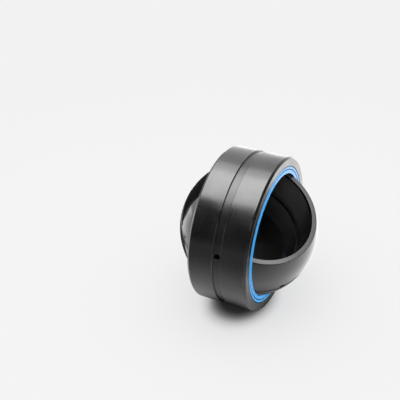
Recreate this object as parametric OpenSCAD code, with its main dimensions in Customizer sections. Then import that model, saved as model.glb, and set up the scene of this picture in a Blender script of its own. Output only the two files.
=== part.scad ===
// Spherical plain bearing with lip seals.
// The origin is the centre of the ball, the outer ring's axis is Y and Z is up.

/* [Inner ring] */
// Bore for the shaft
bore_d = 70; // [60:0.5:80]
// Wall between the bore and the ball, at the middle of the inner ring
inner_wall = 11; // [9.5:0.1:13]
// Width of the inner ring
inner_w = 49; // [43:0.5:55]
// Chamfer at both ends of the bore
bore_chamfer = 1; // [0.4:0.1:1.6]
// Rounding of the edge between the ball and the side face
land_edge_r = 0.6; // [0.2:0.1:1]

/* [Outer ring] */
// Wall between the raceway and the outside, at the middle of the outer ring
outer_wall = 6.45; // [5.6:0.05:8]
// Width of the outer ring
outer_w = 40; // [34:0.5:46]
// Size along the radius of the chamfer at the outside edges
rim_chamfer_r = 1.2; // [0.5:0.1:2]
// Length along the axis of the chamfer at the outside edges
rim_chamfer_w = 1.5; // [0.5:0.1:2.5]

/* [Ball joint] */
// Clearance on the radius between the ball and the raceway
ball_clearance = 0.05; // [0.02:0.01:0.1]
// Tilt of the inner ring's axis away from the outer ring's axis, in degrees
swivel_tilt = 64.7; // [0:0.1:90]
// Slope of the axis that the inner ring is tilted about, from X down towards -Z, in degrees
swivel_slope = 19.6; // [-90:0.1:90]

/* [Lubrication] */
// Width of the groove round the outside of the outer ring
rim_groove_w = 5; // [4:0.1:7]
// Depth of the groove round the outside of the outer ring
rim_groove_depth = 1.1; // [0.5:0.1:2]
// Diameter of the holes through the outer ring
outer_hole_d = 4; // [2.5:0.1:4.5]
// Number of holes through the outer ring
outer_hole_count = 2; // [1:1:6]
// Angle of the first hole through the outer ring, from X towards Z, in degrees
outer_hole_angle = 8.5; // [-180:0.5:180]
// Width of the groove round the middle of the ball
ball_groove_w = 5; // [4:0.1:7]
// Depth of the groove round the middle of the ball
ball_groove_depth = 0.4; // [0.2:0.05:1]
// Width of the groove in the bore
bore_groove_w = 5; // [4:0.1:7]
// Depth of the groove in the bore
bore_groove_depth = 1; // [0.4:0.1:2]
// Bevel at the edges of the grooves
groove_bevel = 0.3; // [0.1:0.05:0.5]
// Diameter of the holes through the inner ring
inner_hole_d = 4; // [2.5:0.1:4.5]
// Number of holes through the inner ring
inner_hole_count = 2; // [1:1:6]
// Angle of the first hole through the inner ring, from X towards Z before the tilt, in degrees
inner_hole_angle = -73; // [-180:0.5:180]

/* [Seals] */
// Width of a seal across its lips, at the face
seal_w = 5; // [4.4:0.1:5.6]
// Depth of a seal's seat below the face
seal_depth = 3.4; // [3.2:0.1:4]
// Depth of the tops of the lips below the face
seal_recess = 0.1; // [0:0.05:0.3]
// Width of the outer lip
lip_w = 1.75; // [1.4:0.05:2]
// Gap between the two lips
lip_gap = 0.5; // [0.3:0.05:0.6]
// Gap between the outer lip and the steel
rim_gap = 0.3; // [0.1:0.05:0.4]
// Depth of the gaps beside the lips
lip_gap_depth = 1.4; // [1:0.05:1.4]
// Rounding of the edges of the lips
lip_edge_r = 0.3; // [0.1:0.05:0.4]
// Clearance between the lips and the ball
lip_clearance = 0.15; // [0.05:0.05:0.3]
// Radius of the grease pocket between the lips and the ball
pocket_r = 0.6; // [0.3:0.05:0.7]
// Radius of the bead that locks a seal in its seat
bead_r = 0.7; // [0.4:0.05:0.75]
// Height of the middle of the bead above the bottom of the seat
bead_h = 1.15; // [1:0.05:1.2]
// Clearance round a seal in its seat
seat_clearance = 0.05; // [0.02:0.01:0.1]

/* [Hidden] */
$fn = 160;

bore_r = bore_d / 2;
ball_r = bore_r + inner_wall;
raceway_r = ball_r + ball_clearance;
outer_r = raceway_r + outer_wall;
face_y = outer_w / 2;
land_y = inner_w / 2;
swivel_axis = [cos(swivel_slope), 0, -sin(swivel_slope)];
lip_sphere_r = ball_r + lip_clearance;
seal_r = sqrt(lip_sphere_r * lip_sphere_r - face_y * face_y) + seal_w;
seat_y = face_y - seal_depth;
lip_top_y = face_y - seal_recess;
foot_y = lip_top_y - lip_gap_depth;
outer_lip_x = seal_r - rim_gap;
inner_lip_x = outer_lip_x - lip_w - lip_gap;
bead_y = seat_y + bead_h;
pocket_y = (seat_y + face_y) / 2;

// Turns a section drawn with X as the radius about the Y axis
module turned() {
    rotate([-90, 0, 0])
        rotate_extrude()
            children();
}

// Repeats a section's detail at both ends of the axis
module both_ends() {
    children();
    mirror([0, 1])
        children();
}

// Section of a bevelled groove; into is 1 in an outside surface and -1 in a bore
module groove_section(r, w, depth, into) {
    bevel = min(groove_bevel, depth / 2);
    half_w = w / 2;
    mouth = half_w + bevel;
    floor_x = r - into * depth;
    bevel_x = r - into * bevel;
    clear_x = r + into * bevel;
    polygon([
        [floor_x, -half_w],
        [bevel_x, -half_w],
        [r, -mouth],
        [clear_x, -mouth],
        [clear_x, mouth],
        [r, mouth],
        [bevel_x, half_w],
        [floor_x, half_w]
    ]);
}

// Drills that run outwards from the Y axis
module radial_drills(d, length, count, first_angle) {
    for (i = [0 : count - 1])
        rotate([0, -first_angle - i * 360 / count, 0])
            rotate([0, 90, 0])
                cylinder(d = d, h = length);
}

// Room that the outer ring leaves for a seal
module seal_seat_section() {
    translate([0, seat_y])
        square([seal_r + seat_clearance, 2 * seal_depth]);
    translate([seal_r, bead_y])
        circle(r = bead_r + seat_clearance);
}

module outer_ring_section() {
    difference() {
        polygon([
            [0, -face_y],
            [outer_r - rim_chamfer_r, -face_y],
            [outer_r, rim_chamfer_w - face_y],
            [outer_r, face_y - rim_chamfer_w],
            [outer_r - rim_chamfer_r, face_y],
            [0, face_y]
        ]);
        circle(r = raceway_r);
        groove_section(outer_r, rim_groove_w, rim_groove_depth, 1);
        both_ends() seal_seat_section();
    }
}

module outer_ring() {
    color("dimgray")
        difference() {
            turned() outer_ring_section();
            radial_drills(outer_hole_d, outer_r + outer_wall, outer_hole_count, outer_hole_angle);
        }
}

// Corner that rounding takes off between the ball and the side face
module land_corner_section() {
    centre_r = ball_r - land_edge_r;
    centre_y = land_y - land_edge_r;
    centre_x = sqrt(centre_r * centre_r - centre_y * centre_y);
    reach = 2 * land_edge_r;
    out_x = reach * centre_x / centre_r;
    out_y = reach * centre_y / centre_r;
    translate([centre_x, centre_y])
        difference() {
            polygon([[0, 0], [0, reach], [out_x, out_y + reach], [out_x, out_y]]);
            circle(r = land_edge_r);
        }
}

// Corner that the chamfer takes off at the end of the bore
module bore_corner_section() {
    translate([bore_r, land_y])
        polygon([
            [-bore_chamfer, -2 * bore_chamfer],
            [2 * bore_chamfer, bore_chamfer],
            [-bore_chamfer, bore_chamfer]
        ]);
}

module inner_ring_section() {
    difference() {
        intersection() {
            circle(r = ball_r);
            translate([bore_r, -land_y])
                square([inner_wall, inner_w]);
        }
        groove_section(ball_r, ball_groove_w, ball_groove_depth, 1);
        groove_section(bore_r, bore_groove_w, bore_groove_depth, -1);
        both_ends() {
            land_corner_section();
            bore_corner_section();
        }
    }
}

module inner_ring() {
    color("gray")
        rotate(a = swivel_tilt, v = swivel_axis)
            difference() {
                turned() inner_ring_section();
                radial_drills(inner_hole_d, ball_r + inner_wall, inner_hole_count, inner_hole_angle);
            }
}

// Flat-topped lip with rounded edges that stands on the bottom of the seat
module lip_section(inside_x, outside_x) {
    w = outside_x - inside_x;
    h = lip_top_y - seat_y;
    translate([inside_x, seat_y])
        square([w, h - lip_edge_r]);
    translate([inside_x + lip_edge_r, seat_y])
        square([w - 2 * lip_edge_r, h]);
    for (x = [inside_x + lip_edge_r, outside_x - lip_edge_r])
        translate([x, lip_top_y - lip_edge_r])
            circle(r = lip_edge_r);
}

// Double lip that reaches to the ball, on a foot with a bead round its outside
module seal_section() {
    difference() {
        union() {
            translate([0, seat_y])
                square([seal_r, foot_y - seat_y]);
            translate([seal_r, bead_y])
                circle(r = bead_r);
            lip_section(0, inner_lip_x);
            lip_section(outer_lip_x - lip_w, outer_lip_x);
        }
        circle(r = lip_sphere_r);
        translate([sqrt(lip_sphere_r * lip_sphere_r - pocket_y * pocket_y), pocket_y])
            circle(r = pocket_r);
    }
}

module front_seal() {
    color("dodgerblue")
        turned() seal_section();
}

module rear_seal() {
    color("dodgerblue")
        turned()
            mirror([0, 1])
                seal_section();
}

outer_ring();
inner_ring();
front_seal();
rear_seal();
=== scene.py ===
# %% [markdown]
# # Dressing a spherical plain bearing
#
# A spherical plain bearing is a ball with a hole in it that swivels inside a ring. This one has black
# phosphated steel rings and a blue rubber seal at each face. The exact solids come in from the CAD model
# as a fixed frame. This lesson turns finer visible rings on the same sizes, gives them their finishes,
# and lights them like the photograph.
#
# Blender works in metres here. Sizes are written in millimetres, as on a drawing, and `mm` turns them into
# metres.

# %% Load the CAD frame
from math import acos, atan2, ceil, cos, pi, radians, sin, sqrt, tan
from types import SimpleNamespace

import bpy
from mathutils import Matrix, Vector


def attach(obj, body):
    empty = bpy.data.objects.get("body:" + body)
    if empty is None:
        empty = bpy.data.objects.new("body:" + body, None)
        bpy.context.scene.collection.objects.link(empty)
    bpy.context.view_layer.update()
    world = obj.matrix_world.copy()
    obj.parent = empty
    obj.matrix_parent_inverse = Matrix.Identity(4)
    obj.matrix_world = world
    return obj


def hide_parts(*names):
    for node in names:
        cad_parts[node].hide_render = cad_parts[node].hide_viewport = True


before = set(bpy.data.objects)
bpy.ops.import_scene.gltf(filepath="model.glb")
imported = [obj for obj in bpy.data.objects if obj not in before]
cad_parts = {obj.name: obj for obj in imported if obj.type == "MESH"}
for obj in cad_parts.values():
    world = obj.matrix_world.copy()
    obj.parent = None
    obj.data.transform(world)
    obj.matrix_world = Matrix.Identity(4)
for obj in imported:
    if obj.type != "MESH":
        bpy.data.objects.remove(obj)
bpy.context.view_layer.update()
mm = 0.001
scene = bpy.context.scene
print("CAD nodes:", sorted(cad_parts))

# %% [markdown]
# ## Camera
#
# The photograph was taken from above the front right, from less than half a metre away. The place and the
# lens come from fitting the ellipses of the rings, so the camera is set by numbers instead of by eye.

# %% Set the camera
camera_data = bpy.data.cameras.new("photo_camera")
camera_data.lens = 65.51
camera_data.sensor_width = 36
camera_data.clip_start = 10 * mm
camera = bpy.data.objects.new("photo_camera", camera_data)
camera.location = (385.1 * mm, 152.3 * mm, 263.6 * mm)
camera_aim = Vector((5.8, -33.4, 16.0)) * mm
camera.rotation_euler = (camera_aim - camera.location).to_track_quat("-Z", "Y").to_euler()
scene.collection.objects.link(camera)
scene.camera = camera
print("camera stands", round((camera_aim - camera.location).length / mm), "mm from the bearing")

# %% [markdown]
# ## Sections
#
# Every piece of the bearing is turned, so a piece is one flat section spun about an axis. A section is a
# closed loop of corners. Real turned edges are never razor sharp: the deburring leaves a tiny rounding,
# and that rounding is what catches the light. So each corner carries its own radius, and the helper below
# swaps the corner for an arc. It also notes how exposed each point is, 1 on an outside edge and -1 in an
# inside corner, because wear and dirt follow that. A guard point on each side of an arc keeps the flat
# faces beside it free of that mark.

# %% Round the corners of a section
ARC_STEP = radians(18)
LEAST_BEND = radians(1)
GUARD = 0.08
SETBACK_SHARE, GUARD_SHARE = 0.45, 0.49


def guard_point(corner, side, setback):
    """A point without exposure on a side of the corner, just beyond the end of the arc."""
    guard = min(setback + GUARD, GUARD_SHARE * side.length)
    return (*(corner + side.normalized() * guard), 0)


def rounded(corners):
    """Points (x, y, exposure) of a closed counterclockwise loop of corners (x, y, radius), in mm."""
    points = []
    for i, (x, y, r) in enumerate(corners):
        corner = Vector((x, y))
        back = Vector(corners[i - 1][:2]) - corner
        ahead = Vector(corners[(i + 1) % len(corners)][:2]) - corner
        bend = pi - back.angle(ahead)
        if r == 0 or bend < LEAST_BEND:
            points.append((x, y, 0))
            continue
        exposure = 1 if ahead.cross(back) > 0 else -1
        setback = min(r * tan(bend / 2), SETBACK_SHARE * back.length, SETBACK_SHARE * ahead.length)
        arc_r = setback / tan(bend / 2)
        centre = corner + (back.normalized() + ahead.normalized()).normalized() * (arc_r / cos(bend / 2))
        first = corner + back.normalized() * setback - centre
        steps = max(2, ceil(bend / ARC_STEP))
        points.append(guard_point(corner, back, setback))
        for k in range(steps + 1):
            turn = Matrix.Rotation(exposure * bend * k / steps, 2)
            points.append((*(centre + turn @ first), exposure))
        points.append(guard_point(corner, ahead, setback))
    return points


square = rounded([(0, 0, 1), (10, 0, 1), (10, 10, 1), (0, 10, 1)])
print("a square with four rounded corners takes", len(square), "points")

# %% [markdown]
# Round stretches of a section are arcs of many corners. Long straight runs are cut into steps, so that the
# steel shades cleanly round a drilled hole.

# %% Draw arcs and cut long runs
LONGEST_RUN = 1.6


def arc(centre_x, centre_y, r, start, end, steps):
    """Corners without rounding along an arc, both ends included."""
    turns = [start + (end - start) * i / steps for i in range(steps + 1)]
    return [(centre_x + r * cos(t), centre_y + r * sin(t), 0) for t in turns]


def with_radius(corner, r):
    """The same corner with another radius."""
    return (*corner[:2], r)


def subdivided(points):
    """The same loop with long straight runs cut into steps."""
    loop = []
    for i, (x, y, exposure) in enumerate(points):
        next_x, next_y, _ = points[(i + 1) % len(points)]
        loop.append((x, y, exposure))
        steps = ceil(sqrt((next_x - x) ** 2 + (next_y - y) ** 2) / LONGEST_RUN)
        loop += [(x + (next_x - x) * k / steps, y + (next_y - y) * k / steps, 0) for k in range(1, steps)]
    return loop


print("cut into steps it takes", len(subdivided(square)))

# %% [markdown]
# ## The lathe
#
# Blender's Spin and Screw would turn a section too, but a Geometry Nodes tree keeps the lathe as a tool:
# the section goes in, and the number of segments, the drill and the finish are inputs. Curve to Mesh
# carries the section round a circle. The drill is one small mesh that the tree repeats round the axis and
# cuts out with a Mesh Boolean, which leaves true round holes.
#
# A tree is built node by node, and the finishes further down are trees too. So a small class takes up what
# repeats: it adds a node, makes its settings, and sets or joins its inputs.

# %% Add and join nodes
class Wiring:
    """Adds nodes to one tree and joins them."""

    def __init__(self, tree):
        self.tree = tree

    def feed(self, node, inputs):
        """Join each input, by name or by number, to another node's output, or set it to a plain value."""
        for name, value in inputs.items():
            if isinstance(value, bpy.types.NodeSocket):
                self.tree.links.new(value, node.inputs[name])
            else:
                node.inputs[name].default_value = value

    def add(self, kind, inputs=None, **settings):
        """A new node with its settings made and its inputs fed."""
        made = self.tree.nodes.new(kind)
        for name, value in settings.items():
            setattr(made, name, value)
        self.feed(made, inputs or {})
        return made


# %% [markdown]
# The tree gets one named input for each thing that differs from piece to piece. A modifier finds an input by
# its identifier, so those are kept.

# %% Name the inputs of the lathe
LATHE_INPUTS = {
    "Segments": "Int",
    "Guide Radius": "Float",
    "Drill": "Object",
    "Hole Count": "Int",
    "First Hole Angle": "Float",
    "Turn": "Rotation",
    "Finish": "Material",
}
lathe = bpy.data.node_groups.new("lathe", "GeometryNodeTree")
lathe.interface.new_socket("Section", in_out="INPUT", socket_type="NodeSocketGeometry")
lathe_inputs = {}
for name, kind in LATHE_INPUTS.items():
    socket = lathe.interface.new_socket(name, in_out="INPUT", socket_type="NodeSocket" + kind)
    lathe_inputs[name] = socket.identifier
lathe.interface.new_socket("Piece", in_out="OUTPUT", socket_type="NodeSocketGeometry")
wire = Wiring(lathe)
given = wire.add("NodeGroupInput").outputs
print("lathe inputs:", lathe_inputs)

# %% [markdown]
# On a real lathe the work turns and the tool stays. Here the section is the tool and goes round the guide
# circle, which runs inside the ring's wall.

# %% Carry the section round a circle
profile = wire.add("GeometryNodeMeshToCurve", {"Mesh": given["Section"]})
guide = wire.add("GeometryNodeCurvePrimitiveCircle", {
    "Resolution": given["Segments"],
    "Radius": given["Guide Radius"],
}, mode="RADIUS")
sweep = wire.add("GeometryNodeCurveToMesh", {
    "Curve": guide.outputs["Curve"],
    "Profile Curve": profile.outputs["Curve"],
})
print("nodes for the sweep:", len(lathe.nodes))

# %% [markdown]
# The holes of a ring are evenly spaced, so the tree needs one point for each hole and turns the drill by the
# same pitch from one to the next.

# %% Repeat the drill round the axis
index = wire.add("GeometryNodeInputIndex")
pitch = wire.add("ShaderNodeMath", {0: 2 * pi, 1: given["Hole Count"]}, operation="DIVIDE")
angle = wire.add("ShaderNodeMath", {
    0: index.outputs["Index"],
    1: pitch.outputs["Value"],
    2: given["First Hole Angle"],
}, operation="MULTIPLY_ADD")
facing = wire.add("ShaderNodeCombineXYZ", {"Z": angle.outputs["Value"]})
places = wire.add("GeometryNodePoints", {"Count": given["Hole Count"]})
drill = wire.add("GeometryNodeObjectInfo", {"Object": given["Drill"]})
drills = wire.add("GeometryNodeInstanceOnPoints", {
    "Points": places.outputs["Points"],
    "Instance": drill.outputs["Geometry"],
    "Rotation": facing.outputs["Vector"],
})
solid_drills = wire.add("GeometryNodeRealizeInstances", {"Geometry": drills.outputs["Instances"]})
print("nodes with the drills:", len(lathe.nodes))

# %% [markdown]
# A piece without holes skips the Boolean. The circle lies flat, so the piece is tipped until its axis is Y,
# then turned into its place and given its finish.

# %% Cut the holes and hand out the finished piece
cut = wire.add("GeometryNodeMeshBoolean", {
    "Mesh 1": sweep.outputs["Mesh"],
    "Mesh 2": solid_drills.outputs["Geometry"],
}, operation="DIFFERENCE", solver="EXACT")
drilled = wire.add("FunctionNodeCompare", {
    "A": given["Hole Count"],
}, data_type="INT", operation="GREATER_THAN")
choose = wire.add("GeometryNodeSwitch", {
    "Switch": drilled.outputs["Result"],
    "False": sweep.outputs["Mesh"],
    "True": cut.outputs["Mesh"],
}, input_type="GEOMETRY")
upright = wire.add("GeometryNodeTransform", {
    "Geometry": choose.outputs["Output"],
    "Rotation": (pi / 2, 0, 0),
})
turned = wire.add("GeometryNodeTransform", {
    "Geometry": upright.outputs["Geometry"],
    "Rotation": given["Turn"],
})
single = wire.add("GeometryNodeRealizeInstances", {"Geometry": turned.outputs["Geometry"]})
finished = wire.add("GeometryNodeSetMaterial", {
    "Geometry": single.outputs["Geometry"],
    "Material": given["Finish"],
})
wire.add("NodeGroupOutput", {"Piece": finished.outputs["Geometry"]})
print("nodes in the lathe:", len(lathe.nodes))

# %% [markdown]
# The lathe runs as a modifier on the section. Its result is kept as a plain mesh. Edges stay sharp only where
# the faces bend by more than the limit.

# %% Turn a section into a finished piece
SEGMENTS = 384
SMOOTH_BELOW = radians(32)


def turned_piece(name, points, guide_r, finish, drill=None, hole_count=0, first_angle=0, turn=(0, 0, 0)):
    """A piece on its own mesh: the section turned about Y, drilled, and then turned into its place."""
    section = bpy.data.meshes.new(name)
    edges = [(i, (i + 1) % len(points)) for i in range(len(points))]
    section.from_pydata([((x - guide_r) * mm, y * mm, 0) for x, y, _ in points], edges, [])
    exposure = section.attributes.new("exposure", "FLOAT", "POINT")
    exposure.data.foreach_set("value", [e for _, _, e in points])
    piece = bpy.data.objects.new(name, section)
    scene.collection.objects.link(piece)

    modifier = piece.modifiers.new("lathe", "NODES")
    modifier.node_group = lathe
    values = {"Segments": SEGMENTS, "Guide Radius": guide_r * mm, "Drill": drill, "Hole Count": hole_count,
              "First Hole Angle": first_angle, "Turn": turn, "Finish": finish}
    for label, value in values.items():
        modifier[lathe_inputs[label]] = value
    depsgraph = bpy.context.evaluated_depsgraph_get()
    mesh = bpy.data.meshes.new_from_object(
        piece.evaluated_get(depsgraph), preserve_all_data_layers=True, depsgraph=depsgraph)
    piece.modifiers.remove(modifier)
    piece.data = mesh
    mesh.shade_smooth()
    mesh.set_sharp_from_angle(angle=SMOOTH_BELOW)
    mesh.calc_loop_triangles()
    print(name, "has", len(mesh.loop_triangles), "triangles")
    return piece


# %% [markdown]
# ## Sizes
#
# These are the driving sizes of the CAD model, in millimetres. Y runs along the axis of a ring and starts at
# its middle. The inner ring is turned in line with the outer one and then swivelled as in the photograph, by
# a tilt about an axis that slopes a little.

# %% Note the driving sizes
OUTER_R, FACE_Y = 52.5, 20.0
BALL_R, BORE_R, LAND_Y = 46.0, 35.0, 24.5
BORE_CHAMFER = 1.0
GROOVE_HALF, GROOVE_BEVEL = 2.5, 0.3
RIM_GROOVE_FLOOR = OUTER_R - 1.1
BORE_GROOVE_FLOOR = BORE_R + 1.0
LIP_TOP = 19.9

SWIVEL_TILT, SWIVEL_SLOPE = radians(64.7), radians(19.6)
swivel = Matrix.Rotation(SWIVEL_TILT, 3, Vector((cos(SWIVEL_SLOPE), 0, -sin(SWIVEL_SLOPE))))
swivel_turn = swivel.to_euler()
print("outside", 2 * OUTER_R, "mm, ball", 2 * BALL_R, "mm, bore", 2 * BORE_R, "mm")

# %% [markdown]
# ## Phosphated steel
#
# Both rings are bearing steel that is hardened, ground and then phosphated: a thin dark crystal layer,
# sealed with oil. So the surface isn't a bare metal. It is a dark layer under an oily film, and both reflect
# like glass does, faintly head-on and strongly at a low angle. A Principled BSDF with metallic at 0, a high
# index of refraction and a coat gives just that.
#
# Its sockets are fed by nodes that each work out one value for a point of the surface. The same few kinds
# come up again and again, so each gets a word here.

# %% Name the nodes that finishes are mixed from
class Recipe(Wiring):
    """Words for the nodes that a finish is mixed from. Each gives back the output with the result."""

    def math(self, operation, *values):
        return self.add("ShaderNodeMath", dict(enumerate(values)), operation=operation).outputs["Value"]

    def scaled(self, vector, factor):
        inputs = {0: vector, "Scale": factor}
        return self.add("ShaderNodeVectorMath", inputs, operation="SCALE").outputs["Vector"]

    def spread(self, value, low, high, to_low, to_high, shape="LINEAR"):
        """The range from low to high laid over the one from to_low to to_high, and held beyond its ends."""
        inputs = {"Value": value, "From Min": low, "From Max": high, "To Min": to_low, "To Max": to_high}
        return self.add("ShaderNodeMapRange", inputs, interpolation_type=shape).outputs["Result"]

    def fade(self, value, edge, before, after, shape="LINEAR"):
        """One level before an edge and another after it. The edge is a start and an end, in mm."""
        start, end = edge
        return self.spread(value, start * mm, end * mm, before, after, shape)

    def noise(self, vector, scale, detail, label):
        inputs = {"Vector": vector, "Scale": scale, "Detail": detail}
        return self.add("ShaderNodeTexNoise", inputs, label=label).outputs["Fac"]

    def mix(self, factor, a, b, kind="RGBA"):
        return self.add("ShaderNodeMix", {"Factor": factor, "A": a, "B": b}, data_type=kind).outputs["Result"]


def new_material(name):
    """A material with a node tree."""
    material = bpy.data.materials.new(name)
    material.use_nodes = True
    return material


# %% [markdown]
# The finish follows the ring, so a Mapping node turns the coordinates to the ring's own axis first. The
# distance from the axis and from the middle of the ring then tell where on it a point lies.

# %% Find a point's place on its ring
def ring_place(recipe, turn):
    """A point in the ring's own coordinates, its distances, and its exposure."""
    place = recipe.add("ShaderNodeTexCoord").outputs["Object"]
    turned_back = recipe.add("ShaderNodeMapping", {"Vector": place, "Rotation": turn}, vector_type="TEXTURE")
    own = turned_back.outputs["Vector"]
    x, y, z = recipe.add("ShaderNodeSeparateXYZ", {"Vector": own}).outputs
    radius = recipe.math("SQRT", recipe.math("ADD", recipe.math("POWER", x, 2), recipe.math("POWER", z, 2)))
    from_middle = recipe.math("ABSOLUTE", y)
    exposure = recipe.add("ShaderNodeAttribute", attribute_name="exposure").outputs["Fac"]
    return SimpleNamespace(own=own, x=x, y=y, z=z, radius=radius, from_middle=from_middle, exposure=exposure)


# %% [markdown]
# Some zones are left as turned: the insides of both rings, their holes, the side faces of the inner ring and,
# less so, the grooves round the outside. They are duller and hold almost no shiny film. The chamfer of the
# bore is cut finer than that, and the walls of the groove in the bore are rough.

# %% Find the turned zones
INSIDE_SOFT, GROOVE_SOFT = 0.1, 0.2
SIDE_FACE_EDGE = (LAND_Y - 0.08, LAND_Y - 0.02)
GROOVE_EDGE = (GROOVE_HALF, GROOVE_HALF + GROOVE_SOFT)
HOLE_EXPOSURE = (-1.9, -1.4)


def ring_zones(recipe, ring, at):
    """How far a point is in each zone, from 0 to 1."""
    side_faces = recipe.fade(at.from_middle, SIDE_FACE_EDGE, 0, 1)
    holes = recipe.spread(at.exposure, *HOLE_EXPOSURE, 1, 0)
    within = recipe.fade(at.radius, (ring.inside_r - INSIDE_SOFT, ring.inside_r), 1, 0)
    inside = recipe.math("MAXIMUM", within, holes)
    near_middle = recipe.fade(at.from_middle, GROOVE_EDGE, ring.groove_dullness, 0)
    below_rim = recipe.fade(at.radius, (ring.groove_r, ring.groove_r + GROOVE_SOFT), 1, 0)
    groove = recipe.math("MULTIPLY", near_middle, below_rim)
    as_turned = recipe.math("MAXIMUM", recipe.math("MAXIMUM", side_faces, groove), inside)
    return SimpleNamespace(side_faces=side_faces, inside=inside, as_turned=as_turned)


# %% [markdown]
# Grinding leaves fine lines round the axis, the phosphate grows in crystals, and the oil film is smeared.
# Noise stands for all three. For the lines the coordinates are stretched across the ring, so that the noise
# changes fast from line to line and slowly along one.

# %% Draw lines, crystals and smears
LINES_ALONG, LINES_ACROSS, LINES_OUTWARD = 12, 2600, 0.6
CRYSTAL_SCALE, SMEAR_SCALE = 900, 70


def steel_grain(recipe, at):
    across = recipe.math("ADD", at.y, recipe.math("MULTIPLY", at.radius, LINES_OUTWARD))
    stretched = recipe.add("ShaderNodeCombineXYZ", {
        "X": recipe.math("MULTIPLY", at.x, LINES_ALONG),
        "Y": recipe.math("MULTIPLY", across, LINES_ACROSS),
        "Z": recipe.math("MULTIPLY", at.z, LINES_ALONG),
    })
    return SimpleNamespace(
        lines=recipe.noise(stretched.outputs["Vector"], 1, 2, "grinding lines"),
        crystals=recipe.noise(at.own, CRYSTAL_SCALE, 4, "phosphate crystals"),
        smears=recipe.noise(at.own, SMEAR_SCALE, 1, "oil film"),
    )


# %% [markdown]
# The roughness starts from the ground surface and goes to that of the turned one in the turned zones. The
# noises then vary it a little, so that reflections are never evenly clean.

# %% Set the roughness
TURNED_ROUGHNESS, CHAMFER_ROUGHNESS, WALL_ROUGHNESS = 0.4, 0.2, 0.95
CHAMFER_EDGE = (LAND_Y - BORE_CHAMFER - 0.1, LAND_Y - BORE_CHAMFER)
WALL_START = (GROOVE_HALF - 0.1, GROOVE_HALF - 0.05)
WALL_END = (GROOVE_HALF + GROOVE_BEVEL + 0.05, GROOVE_HALF + GROOVE_BEVEL + 0.1)
WALL_DEPTH = (BORE_GROOVE_FLOOR + 0.4, BORE_GROOVE_FLOOR + 0.6)
CRYSTAL_RANGE = (0.3, 0.7)


def steel_roughness(recipe, ring, at, zones, grain):
    chamfer = recipe.fade(at.from_middle, CHAMFER_EDGE, 0, CHAMFER_ROUGHNESS - TURNED_ROUGHNESS)
    walls = recipe.fade(at.from_middle, WALL_START, 0, WALL_ROUGHNESS - TURNED_ROUGHNESS)
    for value, edge in ((at.from_middle, WALL_END), (at.radius, WALL_DEPTH)):
        walls = recipe.math("MULTIPLY", walls, recipe.fade(value, edge, 1, 0))
    other_cuts = recipe.math("MULTIPLY", zones.inside, recipe.math("ADD", chamfer, walls))
    turned_rough = recipe.math("ADD", other_cuts, TURNED_ROUGHNESS - ring.roughness)
    rough = recipe.math("ADD", recipe.math("MULTIPLY", zones.as_turned, turned_rough), ring.roughness)
    variations = (
        (grain.crystals, CRYSTAL_RANGE, 0.01),
        (grain.smears, (0.35, 0.65), 0.06),
        (grain.lines, (0.3, 0.7), 0.02),
    )
    for noise, limits, change in variations:
        rough = recipe.math("ADD", rough, recipe.spread(noise, *limits, -change, change))
    return rough


# %% [markdown]
# Handling wears the outside edges back to bright steel, in patches, and the side faces are rubbed to a paler
# grey. That they are paler still towards one side is painted light. Inside the rings the layer is painted
# darker, a painted shade, because hardly any light comes back out.

# %% Colour and wear the steel
LAYER_DARK, LAYER_LIGHT = (0.0024, 0.0024, 0.0024, 1), (0.0039, 0.0039, 0.0039, 1)
SIDE_GREY = (0.14, 0.14, 0.14, 1)
BARE_STEEL = (0.30, 0.29, 0.27, 1)
INSIDE_PAINTED_SHADE = 0.2
PATCH_RANGE, LEAST_PATCH = (0.42, 0.62), 0.1
WEAR_RANGE, MOST_WEAR = (0.35, 0.9), 0.35
SIDE_LIGHT_EDGE, LEAST_SIDE_LIGHT, LEAST_MOTTLE = (4, 20), 0.45, 0.85


def steel_wear(recipe, at, zones, grain):
    patches = recipe.spread(grain.smears, *PATCH_RANGE, LEAST_PATCH, 1)
    worn = recipe.spread(recipe.math("MULTIPLY", at.exposure, patches), *WEAR_RANGE, 0, MOST_WEAR)
    return recipe.math("MULTIPLY", worn, recipe.spread(zones.inside, 0, 1, 1, 0))


def steel_colour(recipe, at, zones, grain, worn):
    layer = recipe.mix(recipe.spread(grain.crystals, *CRYSTAL_RANGE, 0, 1), LAYER_DARK, LAYER_LIGHT)
    # Painted shade: the colour inside the rings and in the holes is darkened
    layer = recipe.scaled(layer, recipe.spread(zones.inside, 0, 1, 1, INSIDE_PAINTED_SHADE))
    mottled = recipe.spread(grain.crystals, *CRYSTAL_RANGE, LEAST_MOTTLE, 1)
    # Painted light: the side faces are painted paler towards larger X of the ring, the crystals mottle them
    side_light_and_mottle = recipe.math("MULTIPLY", recipe.fade(at.x, SIDE_LIGHT_EDGE, LEAST_SIDE_LIGHT, 1), mottled)
    pale = recipe.mix(recipe.math("MULTIPLY", zones.side_faces, side_light_and_mottle), layer, SIDE_GREY)
    return recipe.mix(worn, pale, BARE_STEEL)


# %% [markdown]
# A ground surface isn't quite even. It has a slow waviness, which bends the edges of reflections, and the
# fine lines on top. Two Bump nodes in a row give that without any more mesh.

# %% Make the surface uneven
WAVE_SCALE = 75
LINE_SHARE, CRYSTAL_SHARE = 0.8, 0.2
LINE_STRENGTH = 0.15


def steel_normal(recipe, ring, at, grain):
    wave = recipe.add("ShaderNodeBump", {
        "Distance": ring.waviness * mm,
        "Height": recipe.noise(at.own, WAVE_SCALE, 0, "waviness"),
    })
    lines = recipe.math("MULTIPLY", grain.lines, LINE_SHARE)
    crystals = recipe.math("MULTIPLY", grain.crystals, CRYSTAL_SHARE)
    fine = recipe.add("ShaderNodeBump", {
        "Strength": LINE_STRENGTH,
        "Distance": ring.line_depth * mm,
        "Height": recipe.math("ADD", lines, crystals),
        "Normal": wave.outputs["Normal"],
    })
    return fine.outputs["Normal"]


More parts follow.
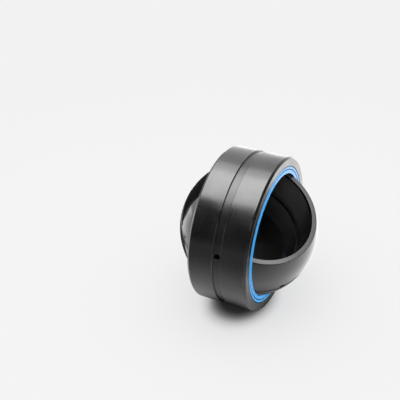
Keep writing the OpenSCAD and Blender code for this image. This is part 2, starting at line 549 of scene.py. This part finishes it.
# %% [markdown]
# With these steps one recipe serves both rings. They differ in their axis, in where their zones end and in
# how well they are ground: the ball is polished to slide, and the outer ring is coarser and wavier.

# %% Make the steel of both rings
STEEL_IOR, FILM_IOR = 1.7, 1.5
TURNED_FILM = 0.05


def steel(name, ring):
    material = new_material(name)
    recipe = Recipe(material.node_tree)
    at = ring_place(recipe, ring.turn)
    zones = ring_zones(recipe, ring, at)
    grain = steel_grain(recipe, at)
    worn = steel_wear(recipe, at, zones, grain)
    normal = steel_normal(recipe, ring, at, grain)
    recipe.feed(material.node_tree.nodes["Principled BSDF"], {
        "Base Color": steel_colour(recipe, at, zones, grain, worn),
        "Metallic": worn,
        "Roughness": steel_roughness(recipe, ring, at, zones, grain),
        "IOR": STEEL_IOR,
        "Normal": normal,
        "Coat Weight": recipe.spread(zones.as_turned, 0, 1, 1, TURNED_FILM),
        "Coat Roughness": ring.film_roughness,
        "Coat IOR": FILM_IOR,
        "Coat Normal": normal,
    })
    print(name, "has", len(material.node_tree.nodes), "nodes")
    return material


outer_steel = steel("outer_steel_finish", SimpleNamespace(
    turn=(0, 0, 0), inside_r=46.7, groove_r=RIM_GROOVE_FLOOR + 0.2, groove_dullness=0.35,
    roughness=0.30, film_roughness=0.22, line_depth=0.004, waviness=0.25))
inner_steel = steel("inner_steel_finish", SimpleNamespace(
    turn=swivel_turn, inside_r=BORE_R + BORE_CHAMFER + 0.02, groove_r=BALL_R + 1, groove_dullness=0.3,
    roughness=0.15, film_roughness=0.08, line_depth=0.003, waviness=0.01))

# %% [markdown]
# ## Blue seal rubber
#
# The seals are moulded from a blue elastomer. The mould leaves a satin skin with a very fine grain, and the
# rubber is a little glossy where the lips are. Light goes a short way into it, but at this size a plain
# coloured surface with a soft highlight looks the same and exports better. Below the tops of the lips, in the
# gaps and on the side that rides on the ball, the rubber is painted navy: painted shade, where little light
# gets in. The edges of the lips are painted darker too, most of all along the steel, which draws the dark
# line round the seal as a painted shadow.

# %% Make the rubber
DEEP_BLUE, LIGHT_BLUE = (0.018, 0.370, 0.920, 1), (0.036, 0.435, 0.970, 1)
SEAL_SHADE_BLUE = (0.002, 0.013, 0.045, 1)
LIP_SHADE_EDGE, MOST_LIP_SHADE = (LIP_TOP - 0.6, LIP_TOP - 0.2), 0.97
# How far from the centre of the ball the edges of the lips start to lie along the steel
STEEL_SIDE = (49.3, 49.8)
EDGE_SHADE, STEEL_SIDE_SHADE = 0.1, 0.8
DYE_SCALE, MOULD_SCALE = 120, 1500
MOULD_DEPTH, MOULD_STRENGTH = 0.01, 0.3


def painted_seal_shade(recipe, place):
    """How much painted shade a point gets, from 0 to 1."""
    y = recipe.add("ShaderNodeSeparateXYZ", {"Vector": place}).outputs["Y"]
    from_centre = recipe.add("ShaderNodeVectorMath", {0: place}, operation="LENGTH").outputs["Value"]
    exposure = recipe.add("ShaderNodeAttribute", attribute_name="exposure").outputs["Fac"]
    # Painted shade: navy below the tops of the lips, in the gaps and on the side along the ball
    below_tops = recipe.fade(recipe.math("ABSOLUTE", y), LIP_SHADE_EDGE, MOST_LIP_SHADE, 0)
    # Painted shadow: the edges of the lips darker, most of all along the steel
    edge_shade_level = recipe.fade(from_centre, STEEL_SIDE, EDGE_SHADE, STEEL_SIDE_SHADE)
    on_edges = recipe.math("MULTIPLY", exposure, edge_shade_level)
    return recipe.math("MAXIMUM", below_tops, on_edges)


def seal_rubber():
    material = new_material("seal_blue_finish")
    recipe = Recipe(material.node_tree)
    place = recipe.add("ShaderNodeTexCoord").outputs["Object"]
    blue = recipe.mix(recipe.noise(place, DYE_SCALE, 2, "uneven dye"), DEEP_BLUE, LIGHT_BLUE)
    grain = recipe.noise(place, MOULD_SCALE, 3, "mould grain")
    bump = recipe.add("ShaderNodeBump", {
        "Strength": MOULD_STRENGTH,
        "Distance": MOULD_DEPTH * mm,
        "Height": grain,
    })
    recipe.feed(material.node_tree.nodes["Principled BSDF"], {
        "Base Color": recipe.mix(painted_seal_shade(recipe, place), blue, SEAL_SHADE_BLUE),
        "Roughness": recipe.spread(grain, 0, 1, 0.34, 0.46),
        "IOR": 1.52,
        "Normal": bump.outputs["Normal"],
        "Coat Weight": 0.6,
        "Coat Roughness": 0.18,
    })
    return material


seal_blue = seal_rubber()
print(seal_blue.name, "has", len(seal_blue.node_tree.nodes), "nodes")

# %% [markdown]
# ## Drills
#
# Two radial holes in each ring carry grease from the groove outside to the sliding faces. A drilled hole
# leaves a burr that a file or brush breaks, so the drill used here is a bit wider where it meets the steel.
# The wall of a hole is marked with an exposure of -2, so it stays dull, and its colour is painted dark as
# painted shade.

# %% Make a drill
HOLE_R, RIM_BREAK, HOLE_COUNT = 2.0, 0.1, 2
BROKEN_R = HOLE_R + RIM_BREAK
DRILL_SIDES, DRILL_SPARE = 48, 1
DRILLED = -2


def drill_mesh(name, stations):
    """A closed drill along X: stations are (distance from the axis, radius), in mm."""
    points = []
    for x, r in stations:
        for k in range(DRILL_SIDES):
            turn = 2 * pi * k / DRILL_SIDES
            points.append((x * mm, r * cos(turn) * mm, r * sin(turn) * mm))
    last = (len(stations) - 1) * DRILL_SIDES
    faces = [list(reversed(range(DRILL_SIDES))), list(range(last, last + DRILL_SIDES))]
    for a in range(0, last, DRILL_SIDES):
        b = a + DRILL_SIDES
        for k in range(DRILL_SIDES):
            following = (k + 1) % DRILL_SIDES
            faces.append([a + k, a + following, b + following, b + k])
    mesh = bpy.data.meshes.new(name)
    mesh.from_pydata(points, [], faces)
    exposure = mesh.attributes.new("exposure", "FLOAT", "POINT")
    exposure.data.foreach_set("value", [DRILLED] * len(points))
    print(name, "has", len(faces), "faces")
    return bpy.data.objects.new(name, mesh)


# %% [markdown]
# ## Outer ring
#
# The outer ring is a short cylinder with a spherical raceway inside. Its outside carries a grease groove with
# bevelled edges, and each face has a stepped seat with a small undercut where the bead of the seal snaps in.
# Both ends are alike, so only the upper half of the section is drawn, and a helper mirrors it. Each corner is
# its distance from the axis, its place along the axis and its rounding.

# %% Draw the section of the outer ring
RIM_CHAMFER_R, RIM_CHAMFER_W = 1.2, 1.5
RACEWAY_R = BALL_R + 0.05
SEAT_R, SEAT_Y = 46.641, 16.6
BEAD_X, BEAD_Y, BEAD_R = 46.591, 17.75, 0.7
SEAT_BEAD_R = BEAD_R + 0.05
bead_half = acos((SEAT_R - BEAD_X) / SEAT_BEAD_R)
raceway_half = atan2(SEAT_Y, sqrt(RACEWAY_R ** 2 - SEAT_Y ** 2))


def below(corners):
    """The same corners at the other end of the axis, in the order that keeps the loop going round."""
    return [(x, -y, r) for x, y, r in reversed(corners)]


outer_half = [
    (RIM_GROOVE_FLOOR, GROOVE_HALF, 0.3),
    (OUTER_R - GROOVE_BEVEL, GROOVE_HALF, 0.1),
    (OUTER_R, GROOVE_HALF + GROOVE_BEVEL, 0.12),
    (OUTER_R, FACE_Y - RIM_CHAMFER_W, 0.35),
    (OUTER_R - RIM_CHAMFER_R, FACE_Y, 0.25),
    (SEAT_R, FACE_Y, 0.15),
    *arc(BEAD_X, BEAD_Y, SEAT_BEAD_R, bead_half, -bead_half, 10),
    (SEAT_R, SEAT_Y, 0.1),
]
raceway = arc(0, 0, RACEWAY_R, raceway_half, -raceway_half, 36)
for end in (0, -1):
    raceway[end] = with_radius(raceway[end], 0.15)
outer_section = subdivided(rounded(outer_half + raceway + below(outer_half)))
print("the section of the outer ring has", len(outer_section), "points")

# %% [markdown]
# The lathe turns the section and drills the holes from the groove inwards. Each dressed piece then takes the
# place of its CAD node, rides on its body and carries its finish.

# %% Turn the outer ring
OUTER_GUIDE_R, OUTER_HOLE_ANGLE = 50, radians(8.5)
OUTER_DRILL_TIP = 40

outer_drill = drill_mesh("outer_drill", [
    (OUTER_DRILL_TIP, HOLE_R),
    (RIM_GROOVE_FLOOR - RIM_BREAK, HOLE_R),
    (RIM_GROOVE_FLOOR, BROKEN_R),
    (OUTER_R + DRILL_SPARE, BROKEN_R),
])
outer_ring = turned_piece("outer_ring_turned", outer_section, OUTER_GUIDE_R, outer_steel, outer_drill,
                          HOLE_COUNT, OUTER_HOLE_ANGLE)
bpy.data.objects.remove(outer_drill)
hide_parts("outer_ring")
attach(outer_ring, "outer")

# %% [markdown]
# ## Inner ring
#
# The inner ring is a ball cut off flat at both ends and bored through. A groove round the ball and one in the
# bore meet at the two holes. The edge between the ball and the side face is rounded, and the bevel of the
# ball groove meets the ball a little beyond the groove, so both points are worked out first.

# %% Draw the section of the inner ring
LAND_EDGE_R = 0.6
BALL_GROOVE_FLOOR, BALL_GROOVE_BEVEL = BALL_R - 0.4, 0.2
land_centre_y = LAND_Y - LAND_EDGE_R
land_centre_x = sqrt((BALL_R - LAND_EDGE_R) ** 2 - land_centre_y ** 2)
ball_top = atan2(land_centre_y, land_centre_x)
bevel_line = BALL_R - BALL_GROOVE_BEVEL - GROOVE_HALF
ball_groove_y = (sqrt(2 * BALL_R ** 2 - bevel_line ** 2) - bevel_line) / 2
ball_low = atan2(ball_groove_y, ball_groove_y + bevel_line)

ball_arc = arc(0, 0, BALL_R, ball_low, ball_top, 24)
ball_arc[0] = with_radius(ball_arc[0], 0.06)
inner_half = [
    (BALL_GROOVE_FLOOR, GROOVE_HALF, 0.25),
    (BALL_R - BALL_GROOVE_BEVEL, GROOVE_HALF, 0.06),
    *ball_arc,
    *arc(land_centre_x, land_centre_y, LAND_EDGE_R, ball_top, pi / 2, 6)[1:],
    (BORE_R + BORE_CHAMFER, LAND_Y, 0.15),
    (BORE_R, LAND_Y - BORE_CHAMFER, 0.15),
    (BORE_R, GROOVE_HALF + GROOVE_BEVEL, 0.1),
    (BORE_R + GROOVE_BEVEL, GROOVE_HALF, 0.1),
    (BORE_GROOVE_FLOOR, GROOVE_HALF, 0.25),
]
inner_section = subdivided(rounded(inner_half + below(inner_half)))
print("the section of the inner ring has", len(inner_section), "points")

# %% [markdown]
# The ring is turned in line with the outer ring, and the lathe then tilts it to where it was swivelled for
# the photograph. Its drill breaks the rims of the hole at both grooves.

# %% Turn the inner ring
INNER_GUIDE_R, INNER_HOLE_ANGLE = 42, radians(-73)

inner_drill = drill_mesh("inner_drill", [
    (BORE_R - DRILL_SPARE, BROKEN_R),
    (BORE_GROOVE_FLOOR, BROKEN_R),
    (BORE_GROOVE_FLOOR + RIM_BREAK, HOLE_R),
    (BALL_GROOVE_FLOOR - RIM_BREAK, HOLE_R),
    (BALL_GROOVE_FLOOR, BROKEN_R),
    (BALL_R + DRILL_SPARE, BROKEN_R),
])
inner_ring = turned_piece("inner_ring_turned", inner_section, INNER_GUIDE_R, inner_steel, inner_drill,
                          HOLE_COUNT, INNER_HOLE_ANGLE, swivel_turn)
bpy.data.objects.remove(inner_drill)
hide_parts("inner_ring")
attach(inner_ring, "inner")

# %% [markdown]
# ## Seals
#
# Each seal is a rubber ring with two lips. Its foot sits in the seat of the outer ring, and a bead round the
# foot snaps into the undercut. What shows is the two flat lips, with a thin gap between them and one at the
# steel. The inner side follows the ball, with a pocket for grease halfway down.

# %% Draw the section of a seal
SEAL_R = BEAD_X
LIP_EDGE_R, LIP_W = 0.3, 1.75
RIM_GAP, LIP_GAP = 0.3, 0.5
FOOT_Y = 18.5
LIP_SPHERE_R = BALL_R + 0.15
POCKET_R, POCKET_Y = 0.6, 18.3
outer_lip_x = SEAL_R - RIM_GAP
gap_x = outer_lip_x - LIP_W
inner_lip_x = gap_x - LIP_GAP
pocket_x = sqrt(LIP_SPHERE_R ** 2 - POCKET_Y ** 2)
pocket_at = atan2(POCKET_Y, pocket_x)
pocket_bite = POCKET_R / LIP_SPHERE_R
chord = pi / 2 + pocket_bite / 2


def sphere_angle(y):
    """The angle from the middle of the ball at which the lip's sphere is at this place along the axis."""
    return atan2(y, sqrt(LIP_SPHERE_R ** 2 - y ** 2))


tip = arc(0, 0, LIP_SPHERE_R, sphere_angle(LIP_TOP), pocket_at + pocket_bite, 4)
tip[0] = with_radius(tip[0], 0.25)
seal_corners = [
    (SEAL_R, SEAT_Y, 0.2),
    *arc(BEAD_X, BEAD_Y, BEAD_R, -pi / 2, pi / 2, 12),
    (SEAL_R, FOOT_Y, 0),
    (outer_lip_x, FOOT_Y, 0.1),
    (outer_lip_x, LIP_TOP, LIP_EDGE_R),
    (gap_x, LIP_TOP, LIP_EDGE_R),
    (gap_x, FOOT_Y, 0.1),
    (inner_lip_x, FOOT_Y, 0.1),
    (inner_lip_x, LIP_TOP, LIP_EDGE_R),
    *tip,
    *arc(pocket_x, POCKET_Y, POCKET_R, pocket_at + chord, pocket_at - chord, 12)[1:-1],
    *arc(0, 0, LIP_SPHERE_R, pocket_at - pocket_bite, sphere_angle(SEAT_Y), 4),
]
seal_section = subdivided(rounded(seal_corners))
rear_seal_section = [(x, -y, exposure) for x, y, exposure in reversed(seal_section)]
print("the section of a seal has", len(seal_section), "points")

# %% [markdown]
# A mould would give both seals from one cavity. Here the rear one is the same section mirrored, and the lathe
# turns both. They are held by the outer ring, so they ride on its body.

# %% Turn the seals
SEAL_GUIDE_R = 44

for node_name, section in (("front_seal", seal_section), ("rear_seal", rear_seal_section)):
    seal = turned_piece(node_name + "_moulded", section, SEAL_GUIDE_R, seal_blue)
    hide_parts(node_name)
    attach(seal, "outer")

# %% [markdown]
# ## Floor
#
# The photograph has a white paper sweep with no visible end. A big diffuse sheet catches the soft shadow
# under the bearing. Its shader works with two distances: from the centre of the ball, and from an oval round
# the contact. Light Path tells what kind of ray asks, so that the camera, reflections and soft light can each
# get their own answer.

# %% Measure the floor
SHADOW_AT = (10 * mm, 0, 0)
SHADOW_STRETCH = (1, 1.33, 0)

paper = new_material("paper_sweep")
paper.node_tree.nodes.clear()
sweep_recipe = Recipe(paper.node_tree)
floor_place = sweep_recipe.add("ShaderNodeTexCoord").outputs["Object"]
floor_x, floor_y, _ = sweep_recipe.add("ShaderNodeSeparateXYZ", {"Vector": floor_place}).outputs
apart = sweep_recipe.add("ShaderNodeVectorMath", {0: floor_place}, operation="LENGTH").outputs["Value"]
oval = sweep_recipe.add("ShaderNodeVectorMath", {0: floor_place, 1: SHADOW_STRETCH}, operation="MULTIPLY")
oval_distance = sweep_recipe.add("ShaderNodeVectorMath", {
    0: oval.outputs["Vector"],
    1: SHADOW_AT,
}, operation="DISTANCE")
from_shadow = oval_distance.outputs["Value"]
rays = sweep_recipe.add("ShaderNodeLightPath").outputs
print("the shadow's oval lies round", SHADOW_AT)

# %% [markdown]
# The camera sees the paper painted darker in the oval round the contact, a painted shadow where almost no
# light gets in. For soft light the paper's brightness is painted by place: behind the bearing it throws
# little light back, which keeps the inside of the bore black. In front it throws more, most of all close to
# the bearing, like a reflector that lights the seal from below.

# %% Set what the floor throws back
SMOOTH = "SMOOTHSTEP"
BACK_BOUNCE, FRONT_BOUNCE, NEAR_BOUNCE = 0.1, 1.45, 2.1
CONTACT_SHADE = 0.13

# Painted light and shade: what the paper throws back to soft light changes with place
front_bounce = sweep_recipe.fade(floor_y, (-25, 25), BACK_BOUNCE, FRONT_BOUNCE, SMOOTH)
far_bounce = sweep_recipe.fade(apart, (140, 220), BACK_BOUNCE, 1, SMOOTH)
near_bounce = sweep_recipe.fade(apart, (60, 110), NEAR_BOUNCE, 1, SMOOTH)
bounce = sweep_recipe.math("MULTIPLY", sweep_recipe.math("MAXIMUM", front_bounce, far_bounce), near_bounce)
# Painted shadow: the paper's colour for the camera is darkened in the oval
contact = sweep_recipe.fade(from_shadow, (15, 29), CONTACT_SHADE, 1, SMOOTH)
unmirrored = sweep_recipe.mix(rays["Is Diffuse Ray"], contact, bounce, "FLOAT")
print("bounce behind, in front and close by:", BACK_BOUNCE, FRONT_BOUNCE, NEAR_BOUNCE)

# %% [markdown]
# In the reflections the paper's brightness is painted too. It is darker towards the photographer, who stands
# in the light there, so it falls along X. It is darker under the bearing and round the contact too, and
# brighter far behind.

# %% Set what reflections see of the floor
FAR_GLEAM, NEAR_GLEAM = 1.6, 0.17
UNDERSIDE, BACK_GLEAM, CONTACT_GLEAM = 0.27, 1.3, 0.15

# Painted reflection: the floor's brightness in reflections is set by place
gleam = sweep_recipe.fade(floor_x, (-150, 195), FAR_GLEAM, NEAR_GLEAM, SMOOTH)
gleam_changes = (
    (apart, (55, 80), UNDERSIDE),
    (floor_y, (-160, -80), BACK_GLEAM),
    (from_shadow, (12, 38), CONTACT_GLEAM),
)
for value, edge, start_level in gleam_changes:
    change = sweep_recipe.fade(value, edge, start_level, 1, SMOOTH)
    gleam = sweep_recipe.math("MULTIPLY", gleam, change)
shade = sweep_recipe.mix(rays["Is Glossy Ray"], unmirrored, gleam, "FLOAT")
print("gleam far and near:", FAR_GLEAM, NEAR_GLEAM)

# %% [markdown]
# Away from the shadow the paper turns into an even glow as white as the photograph's background, partly just
# outside the oval and fully half a metre away, so the end of the sheet never shows.

# %% Blend the paper into white and lay it
FLOOR_Z = -OUTER_R * mm
FLOOR_REACH = 2.0
PAPER, WHITE = 0.73, 0.89
SHADOW_LIFT = 0.71


def sheet(name, corners):
    """A flat sheet on the stage."""
    mesh = bpy.data.meshes.new(name)
    mesh.from_pydata(corners, [], [tuple(range(len(corners)))])
    made = bpy.data.objects.new(name, mesh)
    scene.collection.objects.link(made)
    return made


def level_corners(x0, x1, y0, y1, z):
    """The four corners of a level rectangle."""
    return [(x0, y0, z), (x1, y0, z), (x1, y1, z), (x0, y1, z)]


diffuse = sweep_recipe.add("ShaderNodeBsdfDiffuse", {"Color": sweep_recipe.scaled((PAPER,) * 3, shade)})
glow = sweep_recipe.add("ShaderNodeEmission", {"Color": sweep_recipe.scaled((WHITE,) * 3, shade)})
seen = sweep_recipe.math("MAXIMUM", rays["Is Camera Ray"], rays["Is Glossy Ray"])
seen = sweep_recipe.math("MAXIMUM", seen, rays["Is Transmission Ray"])
near_white = sweep_recipe.fade(from_shadow, (21, 39), 0, SHADOW_LIFT, SMOOTH)
far_white = sweep_recipe.fade(apart, (150, 450), 0, 1 - SHADOW_LIFT, SMOOTH)
blend = sweep_recipe.add("ShaderNodeMixShader", {
    "Fac": sweep_recipe.math("MULTIPLY", seen, sweep_recipe.math("ADD", near_white, far_white)),
    1: diffuse.outputs["BSDF"],
    2: glow.outputs["Emission"],
})
sweep_recipe.add("ShaderNodeOutputMaterial", {"Surface": blend.outputs["Shader"]})
floor_corners = level_corners(-FLOOR_REACH, FLOOR_REACH, -FLOOR_REACH, FLOOR_REACH, FLOOR_Z)
floor = sheet("floor", floor_corners)
floor.data.materials.append(paper)
print("floor at", round(FLOOR_Z / mm, 1), "mm")

# %% [markdown]
# ## Black cards
#
# Polished steel shows whatever is around it. Photographers lay black cards out of sight to keep a bore or an
# edge dark. These two work on reflections only: one lies behind the bearing and keeps the bore black, the
# other stands further back and draws the dark edge at the far end of the ball.

# %% Lay the black cards
CARD_BACK_Y = -125 * mm
BACK_OUTLINE = [(-170, -52.5), (-30, -52.5), (-10, -24), (0, -5), (0, 52.5), (-170, 52.5)]

card_black = new_material("card_black")
card_shader = card_black.node_tree.nodes["Principled BSDF"]
card_shader.inputs["Base Color"].default_value = (0.01, 0.01, 0.01, 1)
card_shader.inputs["Roughness"].default_value = 0.9

low_corners = level_corners(-125 * mm, 8 * mm, CARD_BACK_Y, -16 * mm, FLOOR_Z + 0.2 * mm)
back_corners = [(x * mm, CARD_BACK_Y, z * mm) for x, z in BACK_OUTLINE]
# The cards put painted dark reflections where shade lies; they cast no shadow and the camera doesn't see them
for name, corners in (("low_card", low_corners), ("back_card", back_corners)):
    card = sheet(name, corners)
    card.data.materials.append(card_black)
    for kind in ("visible_camera", "visible_diffuse", "visible_shadow", "visible_transmission"):
        setattr(card, kind, False)
    print("black card:", card.name)

# %% [markdown]
# ## Light
#
# One large softbox hangs above and lights the scene softly. Its square front is what the bright band on the
# upper side of the outer ring shows: the band ends in a line along the ring and fades out at the top. So two
# sheets of light below the softbox are seen by reflections only. They share the edge near the camera and end
# at different places at the far side. That way the band is as bright as in the photograph while colours are
# lit at a plain level.

# %% Hang the softbox
SOFTBOX_D, SOFTBOX_Z = 0.90, 0.80
SOFTBOX_AT = (0.06, -0.035)
SOFTBOX_RADIANCE = 1.3
GLEAM_NEAR_X, GLEAM_W = 0.455, 1.0
GLEAM_SHEETS = ((-0.25, 2.4), (-0.52, 1.9))
GLEAM_STEP = 5 * mm


def hang(name, lamp, radiance, area, place):
    """Hang a lamp on the stage. The radiance is what its front shows, whatever its size."""
    lamp.energy = radiance * pi * area
    made = bpy.data.objects.new(name, lamp)
    made.location = place
    scene.collection.objects.link(made)
    print(name, "power", round(lamp.energy, 1), "W")
    return made


box_light = bpy.data.lights.new("softbox", "AREA")
box_light.shape = "DISK"
box_light.size = SOFTBOX_D
box_area = pi * (SOFTBOX_D / 2) ** 2
box = hang("softbox", box_light, SOFTBOX_RADIANCE, box_area, (*SOFTBOX_AT, SOFTBOX_Z))
box.visible_glossy = False

for number, (far_x, radiance) in enumerate(GLEAM_SHEETS, start=1):
    front = bpy.data.lights.new("softbox_front", "AREA")
    front.shape = "RECTANGLE"
    front.size, front.size_y = GLEAM_NEAR_X - far_x, GLEAM_W
    middle = ((GLEAM_NEAR_X + far_x) / 2, SOFTBOX_AT[1], SOFTBOX_Z - number * GLEAM_STEP)
    hang(front.name, front, radiance, front.size * front.size_y, middle).visible_diffuse = False

# %% [markdown]
# All round is white, except on the side of the photographer: the dark band below the bright one is the dark
# room there. The world shader paints that by direction for reflections, and gives everything else an even
# light.

# %% Paint the world
AMBIENT, ROOM_DARK = 1.05, 0.02
ROOM_SIDE = (0.7, 0.7, 0)

world = bpy.data.worlds.new("studio")
world.use_nodes = True
scene.world = world
world.node_tree.nodes.clear()
studio = Recipe(world.node_tree)
towards = studio.add("ShaderNodeTexCoord").outputs["Generated"]
dark_side = studio.add("ShaderNodeVectorMath", {0: towards, 1: ROOM_SIDE}, operation="DOT_PRODUCT")
room = studio.spread(dark_side.outputs["Value"], -1, 0.2, WHITE, ROOM_DARK, SMOOTH)
world_rays = studio.add("ShaderNodeLightPath").outputs
lit = studio.mix(world_rays["Is Glossy Ray"], AMBIENT, room, "FLOAT")
direct = studio.math("MAXIMUM", world_rays["Is Camera Ray"], world_rays["Is Transmission Ray"])
sky = studio.add("ShaderNodeBackground", {
    "Color": (1, 1, 1, 1),
    "Strength": studio.mix(direct, lit, WHITE, "FLOAT"),
})
studio.add("ShaderNodeOutputWorld", {"Surface": sky.outputs["Background"]})
scene.view_settings.view_transform = "Standard"
print("world:", world.name)
